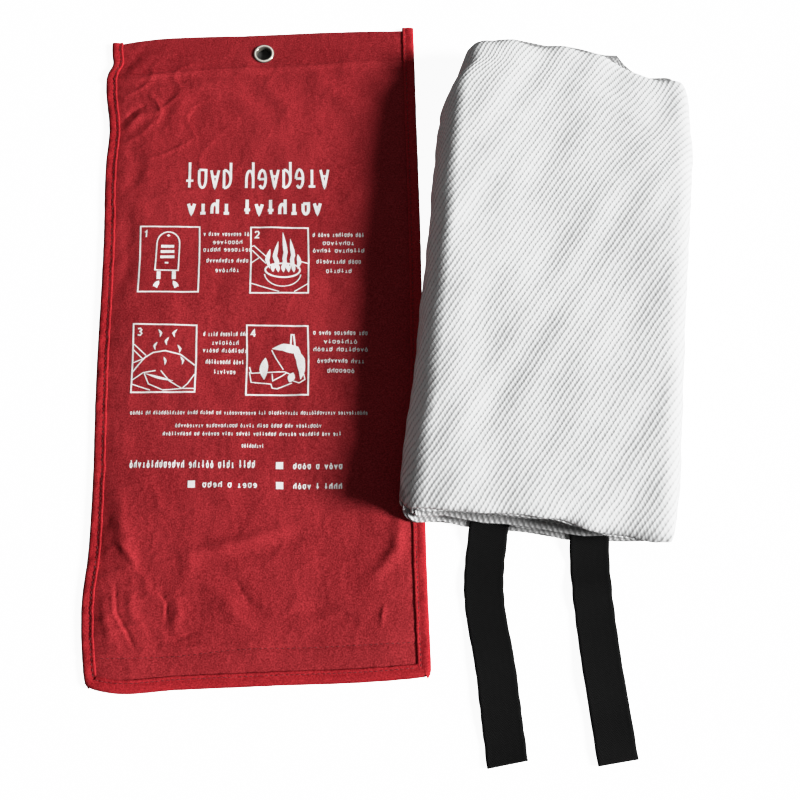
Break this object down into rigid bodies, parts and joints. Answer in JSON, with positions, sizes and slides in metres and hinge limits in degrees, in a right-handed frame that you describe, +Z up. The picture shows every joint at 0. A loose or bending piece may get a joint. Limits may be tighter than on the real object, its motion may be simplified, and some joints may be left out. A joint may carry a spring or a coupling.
{
  "type": "fire blanket",
  "caption": "Folded woven glass-fibre fire blanket with sewn pull straps, lying beside its empty soft hanging pouch with an eyelet, bound edges and an opening mouth lip.",
  "frame": {"origin": "middle of the whole layout's bounding box, on the surface it lies on", "axes": "+Y along the pouch towards its hanging eyelet, +X towards the folded cloth, +Z up from the surface"},
  "size_m": [0.413, 0.5116, 0.034],
  "materials": {
    "shell": "coated woven nylon, satin",
    "binding": "ribbed woven tape, satin",
    "seam_thread": "twisted polyester thread",
    "closure": "hook and loop pile, matt",
    "eyelet_metal": "nickel-plated brass, polished",
    "print_ink": "screen-printed ink, matt",
    "glass_cloth": "woven glass fibre twill, soft sheen",
    "cloth_thread": "white sewing thread",
    "webbing": "herringbone webbing, dull sheen",
    "strap_thread": "black sewing thread"
  },
  "bodies": {
    "pouch": {"pouch_back_panel": "shell", "pouch_front_panel": "shell", "left_edge_binding": "binding", "right_edge_binding": "binding", "back_mouth_binding": "binding", "top_hem_facing": "shell", "hook_strip": "closure", "eyelet_barrel": "eyelet_metal", "eyelet_washer": "eyelet_metal", "left_seam_thread": "seam_thread", "right_seam_thread": "seam_thread", "instruction_print": "print_ink"},
    "front_lip": {"pouch_front_lip": "shell", "lip_edge_binding": "binding", "loop_strip": "closure", "lip_seam_thread": "seam_thread", "closure_seam_thread": "seam_thread"},
    "blanket": {"blanket_cloth": "glass_cloth", "blanket_hem_thread": "cloth_thread", "left_strap_anchor": "webbing", "right_strap_anchor": "webbing", "left_strap_stitching": "strap_thread", "right_strap_stitching": "strap_thread"},
    "left_strap": {"left_pull_strap": "webbing"},
    "right_strap": {"right_pull_strap": "webbing"}
  },
  "joints": [
    {"name": "front_lip_open", "type": "hinge", "parent": "pouch", "child": "front_lip", "pos_m": [-0.09904, -0.1262, 0.0064], "axis": [-1, 0, 0], "range_deg": [0, 35]},
    {"name": "blanket_lift", "type": "slide", "parent": "pouch", "child": "blanket", "axis": [0, 0, 1], "range_m": [0, 0.15]},
    {"name": "left_strap_swing", "type": "hinge", "parent": "blanket", "child": "left_strap", "pos_m": [0.04398, -0.13925, 0.0016], "axis": [-0.9981, -0.061, 0], "range_deg": [0, 80]},
    {"name": "right_strap_swing", "type": "hinge", "parent": "blanket", "child": "right_strap", "pos_m": [0.10981, -0.1487, 0.0016], "axis": [-0.9978, -0.0663, 0], "range_deg": [0, 80]}
  ]
}
